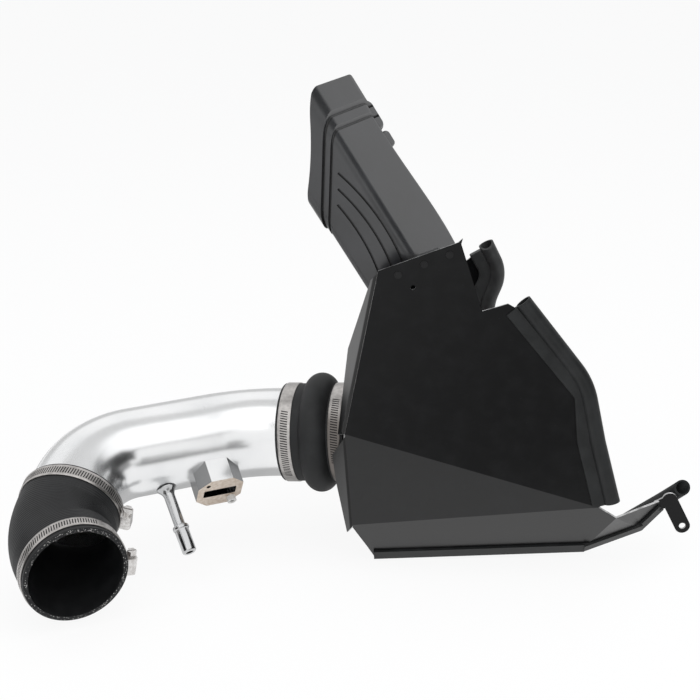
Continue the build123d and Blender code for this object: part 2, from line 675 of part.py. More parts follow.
collar_middle = Plane(origin=(0, 0, scoop_top - collar_length / 2), z_dir=mouth_normal)
duct = split(scoop_skin(0), bisect_by=collar_middle, keep=Keep.BOTTOM)
collar = scoop_band(collar_step, collar_radius, 0, collar_length)
neck = scoop_band(neck_step, neck_radius, collar_length / 2, neck_length)
seams = scoop_seam(neck_step, neck_radius, collar_length) + scoop_seam(0, scoop_radius, neck_length)
left_face = Plane(origin=(0, 0, 0), x_dir=(0, 1, 0), z_dir=(1, 0, 0))
for top, middle, end in zip(groove_tops, groove_middles, groove_ends):
    duct -= left_face * extrude(trace(ThreePointArc(top, middle, end), groove_width), groove_depth)
for height, length, rise in zip(lug_heights, lug_lengths, lug_rise):
    lug = extrude(RectangleRounded(lug_width, length, length / 4), rise + scoop_radius)
    lug = fillet(lug.faces().sort_by(Axis.Z)[-1].edges(), lug_round)
    lug_root = (scoop_depth - scoop_radius, lug_inset + lug_width / 2, height)
    duct += Plane(origin=lug_root, x_dir=(0, 1, 0), z_dir=(1, 0, 0)) * lug
mouth_middle = Vector(
    scoop_depth / 2,
    scoop_width / 2,
    scoop_top - mouth_slope_depth * scoop_depth / 2 - mouth_slope_width * scoop_width / 2,
)
half_chord = scoop_width / 2 * (1 + mouth_slope_width**2) ** 0.5
hollow_radius = (half_chord**2 + mouth_hollow**2) / (2 * mouth_hollow)
hollow_centre = mouth_middle + unit(mouth_normal) * (hollow_radius - mouth_hollow)
hollow_frame = Plane(origin=hollow_centre, z_dir=(1, 0, -mouth_slope_depth))
mouth_scallop = hollow_frame * Cylinder(hollow_radius, 3 * scoop_depth)
scoop_cavity = scoop_skin(-scoop_wall)
collar -= mouth_scallop
scoop_body = scoop_frame * (duct + collar + neck - seams)
edge_run = Vector(*panel_top_right) - Vector(*panel_top_left)
tongue_turn = unit(edge_run)
rivet_length = sheet + tongue_thickness
tongue_along = front_frame.x_dir * tongue_turn.X + front_frame.y_dir * tongue_turn.Y
tongue_frame = Plane(origin=upper_top, x_dir=tongue_along, z_dir=-front_out)
tongue_start = return_gap + return_leg + sheet
tongue_length = edge_run.length - tongue_start - 2 * sheet
tongue_place = Pos(tongue_start + tongue_length / 2, tongue_drop + tongue_height / 2, 0)
tongue = extrude(Rectangle(tongue_length, tongue_height), tongue_thickness)
web = extrude(Rectangle(tongue_web, tongue_height), 5 * tongue_thickness)
tongue_holes = front_frame * extrude(Sketch() + rivet_holes, -4 * rivet_length)
scoop = scoop_body + tongue_frame * tongue_place * (tongue + web) - scoop_frame * scoop_cavity - tongue_holes
parts["air_scoop"] = scoop

# Rivets through the front panel and the scoop's tongue
rivets = Sketch() + [Pos(*place) * Circle(rivet_radius) for place in rivet_places]
heads = Sketch() + [Pos(*place) * Circle(rivet_head_radius) for place in rivet_places]
parts["scoop_rivets"] = front_frame * (extrude(rivets, -rivet_length) + extrude(heads, rivet_head_height))

# The origin is the middle of the box that holds the whole object, on the surface that it stands on
box = Compound(children=[Compound(part.solids()) for part in parts.values()]).bounding_box()
to_origin = Pos(-box.center().X, -box.center().Y, -box.min.Z)
os.makedirs("parts", exist_ok=True)
for name, part in parts.items():
    export_step(to_origin * Compound(part.solids()), f"parts/{name}.step")
print("shift", to_origin.position)
print("size", box.size)
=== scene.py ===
from math import cos, pi, radians, sin, tan

import bpy
import bmesh
from mathutils import Matrix, Vector


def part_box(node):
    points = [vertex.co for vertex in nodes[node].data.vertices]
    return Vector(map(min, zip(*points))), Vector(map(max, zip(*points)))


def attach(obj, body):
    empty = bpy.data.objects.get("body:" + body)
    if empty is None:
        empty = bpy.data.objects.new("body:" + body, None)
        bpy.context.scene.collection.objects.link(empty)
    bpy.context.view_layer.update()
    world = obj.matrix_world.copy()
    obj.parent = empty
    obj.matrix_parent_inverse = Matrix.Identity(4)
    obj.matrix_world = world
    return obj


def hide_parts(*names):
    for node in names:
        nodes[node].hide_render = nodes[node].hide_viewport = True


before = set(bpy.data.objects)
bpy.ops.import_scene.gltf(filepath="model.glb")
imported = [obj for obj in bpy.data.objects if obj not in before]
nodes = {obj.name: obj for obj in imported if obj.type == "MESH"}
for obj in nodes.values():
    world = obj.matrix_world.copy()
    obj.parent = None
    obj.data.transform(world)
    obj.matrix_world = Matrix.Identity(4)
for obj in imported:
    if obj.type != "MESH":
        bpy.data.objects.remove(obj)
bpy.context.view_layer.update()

# Studio: a pale floor that keeps a soft shadow, a white surround, an overhead softbox with an opaque back,
# and two side fills that stay out of reflections. Cards that show only in reflections stand around it: dark
# ones for the glossy sheet and the scoop's corner, grey ones for the soft lines along the polished tube.
shield_inset = 0.022
shield_depth = 0.160
white = (1, 1, 1, 1)
black = (0, 0, 0, 1)
bounced_sky = (0.55, 0.56, 0.58, 1)
paper_white = (0.9, 0.9, 0.9, 1)
floor_half = 6
floor_glow = 0.9
softbox_place = Vector((0.1, -0.35, 1.7))
softbox_size = 2.8
softbox_power = 24.0
softbox_gap = 0.05
fill_size = 1.0
fill_power = 6.0
lamp_target = Vector((0, 0, 0.15))
camera_distance = 1.445
camera_pitch = 20.0
camera_height = 0.235
lens_length = 80.0
film_width = 36.0
rear_wall_low, rear_wall_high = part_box("rear_panel")
# The point on the floor that all places are measured from.
ground = Vector((rear_wall_low.x - shield_inset, rear_wall_high.y - shield_depth, rear_wall_low.z))


class Tap:
    """A shader socket that takes part in sums, and that can add any other node to its tree."""

    def __init__(self, tree, socket=None):
        self.tree = tree
        self.socket = socket

    def make(self, kind, settings, inputs, output=0):
        """Adds a node, sets it up, fills or links its inputs, and taps one of its outputs."""
        node = self.tree.nodes.new("ShaderNode" + kind)
        for key, value in settings.items():
            setattr(node, key, value)
        for name, value in inputs.items():
            if isinstance(value, Tap):
                self.tree.links.new(value.socket, node.inputs[name])
            else:
                node.inputs[name].default_value = value
        return Tap(self.tree, node.outputs[output])

    def maths(self, operation, a, b):
        return self.make("Math", {"operation": operation}, {0: a, 1: b})

    def __add__(self, other):
        return self.maths("ADD", self, other)

    __radd__ = __add__

    def __sub__(self, other):
        return self.maths("SUBTRACT", self, other)

    def __rsub__(self, other):
        return self.maths("SUBTRACT", other, self)

    def __mul__(self, other):
        return self.maths("MULTIPLY", self, other)

    __rmul__ = __mul__

    def into(self, socket):
        self.tree.links.new(self.socket, socket)


def between(mask, low, high):
    """A colour between two, by a mask. A Mix node has its colours at 6 and 7, and their mix at output 2."""
    return mask.make("Mix", {"data_type": "RGBA"}, {0: mask, 6: low, 7: high}, 2)


def new_finish(name, **constants):
    """A Principled material with its constants set, its shader and the object's own coordinates."""
    finish = bpy.data.materials.new(name)
    finish.use_nodes = True
    shader = finish.node_tree.nodes["Principled BSDF"]
    for key, value in constants.items():
        shader.inputs[key.replace("_", " ")].default_value = value
    return finish, shader, Tap(finish.node_tree).make("TexCoord", {}, {}, "Object")


def seen_directly(tree):
    """1 for what the camera sees, also in a mirror or through glass, and 0 for plain bounced light."""
    start = Tap(tree)
    camera = start.make("LightPath", {}, {}, "Is Camera Ray")
    glossy = start.make("LightPath", {}, {}, "Is Glossy Ray")
    through = start.make("LightPath", {}, {}, "Is Transmission Ray")
    return camera.maths("MAXIMUM", camera.maths("MAXIMUM", camera, glossy), through)


def across(left, right, near, far):
    """Corners of a sheet from left to right between two level edges, each given as (y, z)."""
    return [(left, *near), (right, *near), (right, *far), (left, *far)]


def beside(x, near, far, foot, top):
    """Corners of an upright sheet at one side of the object."""
    return [(x, near, foot), (x, far, foot), (x, far, top), (x, near, top)]


def flat(name, corners, finish):
    """A flat sheet with four corners and one finish."""
    mesh = bpy.data.meshes.new(name)
    mesh.from_pydata(corners, [], [(0, 1, 2, 3)])
    mesh.materials.append(finish)
    sheet = bpy.data.objects.new(name, mesh)
    bpy.context.collection.objects.link(sheet)
    return sheet


def card(name, corners, level):
    """A flat card of one grey level that shows only in reflections."""
    finish, felt = new_finish(name, Base_Color=black, Roughness=1.0, Specular_IOR_Level=0.0)[:2]
    felt.inputs["Emission Color"].default_value = (level, level, level, 1)
    felt.inputs["Emission Strength"].default_value = 1.0
    sheet = flat(name, corners, finish)
    sheet.visible_camera = False
    sheet.visible_diffuse = False
    sheet.visible_shadow = False
    return sheet


world = bpy.data.worlds.new("surround")
bpy.context.scene.world = world
world.use_nodes = True
sky = world.node_tree
between(seen_directly(sky), bounced_sky, white).into(sky.nodes["Background"].inputs["Color"])

floor_finish, paper = new_finish(
    "floor_paper", Base_Color=paper_white, Roughness=0.9, Specular_IOR_Level=0.1
)[:2]
tree = floor_finish.node_tree
shown = seen_directly(tree)
glow = shown.make("Emission", {}, {"Color": white, "Strength": 1.0})
lit = Tap(tree, paper.outputs["BSDF"])
surface = shown.make("MixShader", {}, {0: shown * floor_glow, 1: lit, 2: glow})
surface.into(tree.nodes["Material Output"].inputs["Surface"])
floor = flat("floor", across(-floor_half, floor_half, (-floor_half, 0), (floor_half, 0)), floor_finish)

softbox_aim = lamp_target - softbox_place
half = softbox_size / 2
softbox_back = []
for x, y, gap in across(-half, half, (-half, softbox_gap), (half, softbox_gap)):
    tilt = (x * softbox_aim.x + y * softbox_aim.y) / softbox_aim.z
    softbox_back.append(softbox_place + Vector((x, y, gap - tilt)))
dark_mat = [(-0.05, -0.95, 0.002), (0.6, -0.95, 0.002), (0.5, -0.42, 0.002), (-0.05, -0.42, 0.002)]
card("dark_board", across(0.16, 0.5, (-0.95, 0), (-1.05, 0.28)), 0.35)
card("mid_board", across(0.05, 0.16, (-0.95, 0), (-1.05, 0.28)), 0.6)
card("dark_mat", dark_mat, 0.2)
card("grey_line", across(0.5, 2.4, (-1.1, 0), (-1.1, 0.12)), 0.55)
card("grey_roof", across(-1.6, 1.6, (0.15, 1.62), (0.75, 1.62)), 0.66)
card("grey_back", across(-2.2, 2.2, (1.9, 0), (1.9, 0.9)), 0.6)
card("grey_mat", across(-0.6, -0.02, (0.03, 0.001), (0.5, 0.001)), 0.5)
card("left_side", beside(-1.3, -1.0, 0.6, 0, 0.45), 0.3)
card("right_side", beside(1.4, -0.9, 0.6, 0, 0.45), 0.3)
card("softbox_back", softbox_back, 0.28)
card("right_flag", beside(1.4, -1.6, 0.4, 0.45, 1.5), 0.03)

for name, place, size, power in (
    ("overhead_softbox", softbox_place, softbox_size, softbox_power),
    ("left_fill", Vector((-1.6, -0.9, 0.9)), fill_size, fill_power),
    ("right_fill", Vector((1.6, -0.5, 1.0)), fill_size, fill_power),
):
    lamp = bpy.data.lights.new(name, "AREA")
    lamp.size = size
    lamp.energy = power
    light = bpy.data.objects.new(name, lamp)
    light.location = place
    light.rotation_euler = (lamp_target - place).to_track_quat("-Z", "Y").to_euler()
    light.visible_glossy = name == "overhead_softbox"
    bpy.context.collection.objects.link(light)

lens = bpy.data.cameras.new("camera")
lens.lens = lens_length
lens.sensor_width = film_width
lens.sensor_fit = "HORIZONTAL"
camera = bpy.data.objects.new("camera", lens)
look_at = ground + Vector((0, 0, camera_height))
look_back = Vector((0, -cos(radians(camera_pitch)), sin(radians(camera_pitch))))
camera.location = look_at + camera_distance * look_back
camera.rotation_euler = (radians(90 - camera_pitch), 0, 0)
bpy.context.collection.objects.link(camera)
bpy.context.scene.camera = camera
bpy.context.scene.view_settings.view_transform = "Standard"

# Throttle elbow: a silicone hose, wrapped in fabric on a mandrel, which leaves fine rings round it. The cut
# end shows pale threads of the fabric plies. It slides over the throttle and over the tube's first end.
throttle_mouth = ground + Vector((-0.2465, -0.1100, 0.0594))
elbow_corner = ground + Vector((-0.2724, -0.0552, 0.0665))
main_corner = ground + Vector((-0.2562, 0.0396, 0.1049))
tube_radius = 0.04445
hose_fit = 0.00005
hose_bore = tube_radius + hose_fit
elbow_wall = 0.0047
elbow_bend = 0.078
elbow_cuff = 0.026
elbow_sides = 112
elbow_crease = 50.0
wrap_pitch = 0.0026
wrap_depth = 0.00020
wrap_fade = 0.004
steps_a_ring = 5
rim_round = 0.0008
elbow_black = (0.0095, 0.0099, 0.0106, 1)
thread_white = (0.55, 0.54, 0.52, 1)
dust_gain = 1.5
dust_veil = 0.003


def shaped(name, points, faces, finishes):
    """A smooth mesh piece that rides with the object. Each face is (corners, finish number)."""
    mesh = bpy.data.meshes.new(name)
    mesh.from_pydata(points, [], [corners for corners, number in faces])
    for finish in finishes:
        mesh.materials.append(finish)
    for polygon, (corners, number) in zip(mesh.polygons, faces):
        polygon.use_smooth = True
        polygon.material_index = number
    mesh.update()
    piece = bpy.data.objects.new(name, mesh)
    bpy.context.collection.objects.link(piece)
    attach(piece, "root")
    return piece


def route(corners, bends, step):
    """Stations along straight runs and tangent arcs: (place, direction, distance)."""
    stations = []
    here = corners[0]
    distance = 0.0
    for index, bend in enumerate(list(bends) + [None]):
        corner = corners[index + 1]
        ahead = (corner - here).normalized()
        if bend is None:
            stop = corner
        else:
            onward = (corners[index + 2] - corner).normalized()
            turn = ahead.angle(onward)
            stop = corner - ahead * bend * tan(turn / 2)
        run = (stop - here).length
        count = max(2, round(run / step))
        for i in range(count):
            stations.append((here + ahead * run * i / count, ahead, distance + run * i / count))
        distance += run
        here = stop
        if bend is not None:
            side = ahead.cross(onward).normalized()
            centre = stop + side.cross(ahead) * bend
            length = bend * turn
            count = max(4, round(length / step))
            for i in range(count):
                spin = Matrix.Rotation(turn * i / count, 3, side)
                place = centre + spin @ (stop - centre)
                stations.append((place, spin @ ahead, distance + length * i / count))
            distance += length
            here = centre + Matrix.Rotation(turn, 3, side) @ (stop - centre)
    stations.append((corners[-1], ahead, distance))
    return stations


def thinned(stations, skip):
    """One station in so many, and the last one."""
    return stations[::skip] + stations[-1:]


def hose_rings(stations, radius_at, around):
    """Rings of points round each station, without twist; radius_at takes the distance."""
    turn = stations[0][1].orthogonal().normalized()
    rings = []
    for place, ahead, distance in stations:
        turn = (turn - ahead * turn.dot(ahead)).normalized()
        up = ahead.cross(turn)
        radius = radius_at(distance)
        ring = []
        for i in range(around):
            angle = 2 * pi * i / around
            ring.append(place + (turn * cos(angle) + up * sin(angle)) * radius)
        rings.append(ring)
    return rings


def closed_wall(outer, inner, rim_number=0):
    """Points and faces of a pipe wall from its outer rings, its inner rings and a rim at each end."""
    loop = outer + inner[::-1]
    around = len(loop[0])
    points = [point for ring in loop for point in ring]
    faces = []
    for r in range(len(loop)):
        s = (r + 1) % len(loop)
        rim = r in (len(outer) - 1, len(loop) - 1)
        for i in range(around):
            j = (i + 1) % around
            corners = (r * around + i, r * around + j, s * around + j, s * around + i)
            faces.append((corners, rim_number if rim else 0))
    return points, faces


def blotches(place, scale, detail=4.0, roughness=0.5):
    """Soft noise from 0 to 1 at a scale in cycles per metre."""
    inputs = {"Vector": place, "Scale": scale, "Detail": detail, "Roughness": roughness}
    return place.make("TexNoise", {}, inputs)


def spread(mask, low, high):
    """A mask stretched from one range to the range from 0 to 1, and clamped."""
    return mask.make("MapRange", {"clamp": True}, {"Value": mask, 1: low, 2: high, 3: 0.0, 4: 1.0})


def relief(shader, height, strength, depth):
    """Lets a mask stand out from a surface by a depth."""
    bump = height.make("Bump", {}, {"Strength": strength, "Distance": depth, "Height": height})
    bump.into(shader.inputs["Normal"])


def rubber_finish(name, colour, roughness, grain):
    """Black rubber with a fine matt grain and a little dust."""
    finish, shader, place = new_finish(name, Specular_IOR_Level=0.32)
    dust = blotches(place, 60.0)
    pale = tuple(c * dust_gain + dust_veil for c in colour[:3]) + (1,)
    between(spread(dust, 0.4, 0.75), colour, pale).into(shader.inputs["Base Color"])
    (roughness + (dust - 0.5) * 0.2).into(shader.inputs["Roughness"])
    relief(shader, blotches(place, grain, detail=2.0), strength=0.25, depth=0.0002)
    return finish


elbow_finish = rubber_finish("wrapped_silicone", elbow_black, roughness=0.46, grain=1800.0)
ply_finish, ply, place = new_finish("cut_fabric_plies", Specular_IOR_Level=0.3)
threads = place.make("TexVoronoi", {}, {"Vector": place, "Scale": 620.0, "Randomness": 1.0})
flecks = spread(threads, 0.36, 0.18) * spread(blotches(place, 260.0), 0.40, 0.52)
between(flecks, elbow_black, thread_white).into(ply.inputs["Base Color"])
(0.6 + flecks * 0.3).into(ply.inputs["Roughness"])
relief(ply, flecks, strength=0.5, depth=0.0005)

elbow_in = (elbow_corner - throttle_mouth).normalized()
elbow_out = (main_corner - elbow_corner).normalized()
elbow_turn = elbow_in.angle(elbow_out)
elbow_end = elbow_corner + elbow_out * (elbow_bend * tan(elbow_turn / 2) + elbow_cuff)
elbow_stations = route([throttle_mouth, elbow_corner, elbow_end], [elbow_bend], wrap_pitch / steps_a_ring)
elbow_length = elbow_stations[-1][2]


def elbow_skin(distance):
    """Outer radius with the wrap's fine rings, rounded over at both ends."""
    edge = min(distance, elbow_length - distance)
    rounding = rim_round * max(0.0, 1 - edge / rim_round) ** 2
    wave = wrap_depth * sin(2 * pi * distance / wrap_pitch) * min(1.0, edge / wrap_fade)
    return hose_bore + elbow_wall - wrap_depth - rounding + wave


elbow_outer = hose_rings(elbow_stations, elbow_skin, elbow_sides)
elbow_inner = hose_rings(thinned(elbow_stations, skip=4), lambda distance: hose_bore, elbow_sides)
points, faces = closed_wall(elbow_outer, elbow_inner, rim_number=1)
elbow = shaped("throttle_elbow_hose", points, faces, [elbow_finish, ply_finish])
elbow.data.set_sharp_from_angle(angle=radians(elbow_crease))
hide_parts("throttle_elbow")

# Intake tube: aluminium tube bent on a mandrel and polished to a mirror. The polishing leaves slight waves
# and faint haze along its length. Its ends slide into the elbow and the hump hose.
end_corner = ground + Vector((-0.1045, 0.0997, 0.1106))
tube_end = ground + Vector((-0.0442, 0.0878, 0.1152))
tube_wall = 0.002
tube_bends = [0.075, 0.130]
tube_insertion = 0.023
tube_step = 0.0022
tube_sides = 160
tube_crease = 40.0
maf_station = 0.116
maf_way = Vector((0.322, -0.757, -0.568)).normalized()
maf_slot_length = 0.033
maf_slot_width = 0.012
vent_station = 0.064
vent_way = Vector((0.365, -0.644, -0.672)).normalized()
vent_hole = 0.0056
vent_hole_sides = 32
cut_start = 0.01
cut_depth = 0.05
polished_white = (0.90, 0.905, 0.91, 1)
polished_grey = (0.80, 0.81, 0.82, 1)


def dimmed(colour, share):
    """A colour that sends back a share of its light."""
    return tuple(share * c for c in colour[:3]) + (1,)


def polished_finish(name, haze, share=1.0):
    """Polished aluminium with soft haze and very shallow waves, which sends back a share of the light."""
    finish, shader, place = new_finish(name, Metallic=1.0)
    clouds = blotches(place, 14.0, detail=3.0)
    metal = between(spread(clouds, 0.35, 0.7), dimmed(polished_white, share), dimmed(polished_grey, share))
    metal.into(shader.inputs["Base Color"])
    fine = blotches(place, 900.0, detail=2.0)
    (haze + spread(clouds, 0.45, 0.8) * 0.10 + fine * 0.03).into(shader.inputs["Roughness"])
    relief(shader, blotches(place, 22.0, detail=1.0), strength=0.35, depth=0.0012)
    return finish


def turn_outward(mesh):
    """Turns the faces of a closed mesh outward."""
    body = bmesh.new()
    body.from_mesh(mesh)
    bmesh.ops.recalc_face_normals(body, faces=body.faces)
    body.to_mesh(mesh)
    body.free()


def plug(way, start, outline):
    """A straight-sided cutter with an outline of points across its way."""
    mesh = bpy.data.meshes.new("plug")
    count = len(outline)
    near = [start + offset for offset in outline]
    far = [point + way * cut_depth for point in near]
    faces = [tuple(range(count))[::-1], tuple(range(count, 2 * count))]
    for i in range(count):
        j = (i + 1) % count
        faces.append((i, j, count + j, count + i))
    mesh.from_pydata(near + far, [], faces)
    turn_outward(mesh)
    cutter = bpy.data.objects.new("plug", mesh)
    bpy.context.collection.objects.link(cutter)
    return cutter


def cut_out(piece, cutter):
    """Takes the cutter's shape out of a piece and removes the cutter."""
    modifier = piece.modifiers.new("cut", "BOOLEAN")
    modifier.object = cutter
    modifier.solver = "EXACT"
    graph = bpy.context.evaluated_depsgraph_get()
    mesh = bpy.data.meshes.new_from_object(piece.evaluated_get(graph))
    piece.modifiers.clear()
    old = piece.data
    piece.data = mesh
    bpy.data.meshes.remove(old)
    bpy.data.objects.remove(cutter)


tube_finish = polished_finish("polished_aluminium_tube", haze=0.20)
tube_start = elbow_end - elbow_out * tube_insertion
tube_stations = route([tube_start, main_corner, end_corner, tube_end], tube_bends, tube_step)
tube_outer = hose_rings(tube_stations, lambda distance: tube_radius, tube_sides)
tube_inner = hose_rings(thinned(tube_stations, skip=3), lambda distance: tube_radius - tube_wall, tube_sides)
points, faces = closed_wall(tube_outer, tube_inner)
tube = shaped("intake_tube_polished", points, faces, [tube_finish])

middle_way = (end_corner - main_corner).normalized()
maf_along = (middle_way - maf_way * middle_way.dot(maf_way)).normalized()
maf_across = maf_way.cross(maf_along)
maf_root = main_corner + middle_way * maf_station
slot_outline = []
for x, y in ((-0.5, -0.5), (0.5, -0.5), (0.5, 0.5), (-0.5, 0.5)):
    slot_outline.append(maf_along * maf_slot_length * x + maf_across * maf_slot_width * y)
cut_out(tube, plug(maf_way, maf_root + maf_way * cut_start, slot_outline))

vent_root = main_corner + middle_way * vent_station
vent_side = vent_way.orthogonal().normalized()
vent_up = vent_way.cross(vent_side)
hole_outline = []
for i in range(vent_hole_sides):
    angle = 2 * pi * i / vent_hole_sides
    hole_outline.append((vent_side * cos(angle) + vent_up * sin(angle)) * vent_hole)
cut_out(tube, plug(vent_way, vent_root + vent_way * cut_start, hole_outline))
for polygon in tube.data.polygons:
    polygon.use_smooth = True
tube.data.set_sharp_from_angle(angle=radians(tube_crease))
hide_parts("intake_tube")

# Sensor block: a machined and polished aluminium seat, welded under the tube. Its end face is left as
# milled, with a warm satin tone, and carries the sensor's slot, two screw holes and one pale nylon spacer.
milled_tan = (0.62, 0.52, 0.43, 1)
milled_pale = (0.78, 0.70, 0.62, 1)
nylon_white = (0.82, 0.81, 0.79, 1)
nylon_dull = (0.7, 0.69, 0.66, 1)
block_round = 0.0006
spacer_round = 0.0003
round_steps = 2
milled_facing = 0.9
facet_facing = 0.5


def dressed(node, finishes, bevel, number_for=None, crease=32.0, bevel_from=None, bevel_number=-1):
    """Gives a CAD node its finishes, by face where number_for says, and softens edges above an angle."""
    body = nodes[node]
    body.data.materials.clear()
    for finish in finishes:
        body.data.materials.append(finish)
    for polygon in body.data.polygons:
        polygon.use_smooth = True
        if number_for is not None:
            polygon.material_index = number_for(polygon)
    body.data.set_sharp_from_angle(angle=radians(crease))
    if bevel:
        rounding = body.modifiers.new("soft_edges", "BEVEL")
        rounding.width = bevel
        rounding.segments = round_steps
        rounding.limit_method = "ANGLE"
        rounding.angle_limit = radians(bevel_from or crease)
        rounding.material = bevel_number
        rounding.harden_normals = True


def mottled_finish(name, colours, patches, roughness, grain, contrast=(0.3, 0.7), **constants):
    """A finish that drifts between two colours in patches, with a fine grain between two roughnesses."""
    finish, shader, place = new_finish(name, **constants)
    between(spread(blotches(place, patches), *contrast), *colours).into(shader.inputs["Base Color"])
    smooth, rough = roughness
    (smooth + blotches(place, grain) * (rough - smooth)).into(shader.inputs["Roughness"])
    return finish


def block_side(face):
    """Tells the milled end face and the two end facets of the block from its other sides."""
    if face.normal.dot(maf_way) > milled_facing:
        return 1
    return 2 if abs(face.normal.dot(maf_along)) > facet_facing else 0


block_finish = polished_finish("polished_sensor_block", haze=0.06, share=0.78)
# Painted shade: the two end facets take a dimmer copy of the same polish.
block_end_painted_shade = polished_finish("polished_sensor_block_end_painted_shade", haze=0.10, share=0.30)
milled_finish, milled, place = new_finish("milled_face", Metallic=1.0)
passes = blotches(place, 320.0, detail=3.0)
between(spread(passes, 0.35, 0.65), milled_tan, milled_pale).into(milled.inputs["Base Color"])
(0.34 + passes * 0.2).into(milled.inputs["Roughness"])
relief(milled, passes, strength=0.2, depth=0.0002)
dressed("maf_mount", [block_finish, milled_finish, block_end_painted_shade], block_round, block_side)
spacer_finish = mottled_finish(
    "white_nylon", (nylon_white, nylon_dull), patches=500.0, roughness=(0.4, 0.6), grain=900.0,
    Specular_IOR_Level=0.4,
)
dressed("maf_spacer", [spacer_finish], spacer_round)

# Vent nipple: a turned aluminium pipe with a stop bead and a barrel end, set through the tube's wall, welded
# round its foot and polished. Its profile starts at the inner end and runs over the foot, bead and barrel.
vent_bore = 0.0038
vent_pipe = 0.0055
vent_foot = 0.0100
vent_bead = 0.0080
vent_barrel = 0.0070
vent_sides = 48
turned_crease = 35.0
vent_profile = [
    (vent_bore, 0.0425), (vent_pipe, 0.0425), (vent_pipe, 0.0440),
    (vent_foot, 0.0444), (vent_foot, 0.0452), (0.0088, 0.0466), (0.0072, 0.0484), (0.0061, 0.0505),
    (vent_pipe, 0.0530), (vent_pipe, 0.0845), (0.0058, 0.0853), (0.0074, 0.0858),
    (vent_bead, 0.0868), (vent_bead, 0.0890), (0.0076, 0.0900),
    (vent_barrel, 0.0905), (vent_barrel, 0.1124), (0.0066, 0.1137), (0.0057, 0.1144),
    (0.0044, 0.1144), (vent_bore, 0.1138),
]


def turned(name, root, way, profile, around, finishes):
    """A turned piece about a line, from (radius, distance) points; the profile closes on itself."""
    side = way.orthogonal().normalized()
    up = way.cross(side)
    points, faces = [], []
    for radius, height in profile:
        for i in range(around):
            angle = 2 * pi * i / around
            points.append(root + way * height + (side * cos(angle) + up * sin(angle)) * radius)
    for r in range(len(profile)):
        s = (r + 1) % len(profile)
        for i in range(around):
            j = (i + 1) % around
            faces.append(((r * around + i, r * around + j, s * around + j, s * around + i), 0))
    piece = shaped(name, points, faces, finishes)
    piece.data.set_sharp_from_angle(angle=radians(turned_crease))
    return piece


vent_finish = polished_finish("polished_vent", haze=0.10, share=0.66)
vent = turned("vent_nipple_turned", vent_root, vent_way, vent_profile, vent_sides, [vent_finish])
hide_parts("vent_nipple")

# Hump hose: moulded black rubber with one round hump between two cuffs. It joins the tube to the filter's
# adapter and lets the engine move against the shield.
tube_way = (tube_end - end_corner).normalized()
hose_start, hose_stop = -0.020, 0.048
hose_lip = 0.0006
hump_start, hump_stop = 0.003, 0.031
hump_wall = 0.0046
hump_rise = 0.0108
hump_steps = 22
hump_sides = 144
blend_depth = 0.0012
blend_from = 0.9
hump_black = (0.014, 0.0145, 0.015, 1)


def bulge(offset):
    """Points of the hump's arc, from one cuff to the other."""
    half = (hump_stop - hump_start) / 2
    radius = (half**2 + hump_rise**2) / (2 * hump_rise)
    arc = []
    for i in range(hump_steps + 1):
        t = -1 + 2 * i / hump_steps
        height = (radius**2 - (t * half) ** 2) ** 0.5 - (radius - hump_rise)
        blend = blend_depth * (1 - abs(t)) if abs(t) > blend_from else 0.0
        arc.append((hose_bore + offset + height - blend, (hump_start + hump_stop) / 2 + t * half))
    return arc


hump_outline = [
    (hose_bore, hose_start),
    (hose_bore + hump_wall - hose_lip, hose_start),
    (hose_bore + hump_wall, hose_start + hose_lip),
    *bulge(hump_wall),
    (hose_bore + hump_wall, hose_stop - hose_lip),
    (hose_bore + hump_wall - hose_lip, hose_stop),
    (hose_bore, hose_stop),
    *bulge(0.0)[::-1],
]
hump_finish = rubber_finish("matt_hump_rubber", hump_black, roughness=0.60, grain=1500.0)
hump = turned("hump_hose_moulded", tube_end, tube_way, hump_outline, hump_sides, [hump_finish])
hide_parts("hump_coupler")

# Hose clamps: a rolled steel band with a row of slots punched across it, a pressed screw housing and a worm
# screw with a hex head. The slots take up only one stretch of the band, and the rest of it is plain. The
# band beside the shield has painted shade: its colour is darker below its top, where the shield shades it.
band_width = 0.0127
band_thickness = 0.0008
band_edge = 0.0025
band_curl = 0.0004
band_crease = 28.0
slot_pitch = 0.0025
slot_gap = 0.0011
slot_reach = 0.0036
slot_depth = 0.00055
slot_slant = 0.0006
filter_wall = 0.0045
flange_stop = 0.064
shade_height = 0.048
shade_fade = 0.018
housing_round = 0.0005
screw_round = 0.0003
steel_shade = (0.16, 0.145, 0.135, 1)
steel_grey = (0.38, 0.365, 0.355, 1)
steel_pale = (0.54, 0.52, 0.505, 1)
steel_bright = (0.8, 0.79, 0.78, 1)
slot_black = (0.015, 0.015, 0.015, 1)
slot_grey = (0.05, 0.05, 0.05, 1)


def band_finish(name, shade_from=None):
    """Rolled steel with a fine grain. Below shade_from, a height, its colour is darker with painted shade.
    """
    finish, shader, place = new_finish(name, Metallic=1.0)
    rolling = blotches(place, 260.0)
    steel = between(spread(rolling, 0.3, 0.7), steel_grey, steel_pale)
    if shade_from is not None:
        height = place.make("SeparateXYZ", {}, {"Vector": place}, "Z")
        steel = between(spread(height, shade_from - shade_fade, shade_from), steel_shade, steel)
    steel.into(shader.inputs["Base Color"])
    (0.24 + rolling * 0.16).into(shader.inputs["Roughness"])
    return finish


plain_band = band_finish("rolled_band_steel")
shaded_band = band_finish("shaded_band_steel", tube_end.z + shade_height)
slot_finish = mottled_finish(
    "band_slot_shadow", (slot_black, slot_grey), patches=900.0, roughness=(0.6, 0.8), grain=700.0,
    contrast=(0, 1), Metallic=0.6,
)
housing_finish = mottled_finish(
    "pressed_housing_steel", (steel_pale, steel_bright), patches=300.0, roughness=(0.2, 0.35), grain=500.0,
    Metallic=1.0,
)


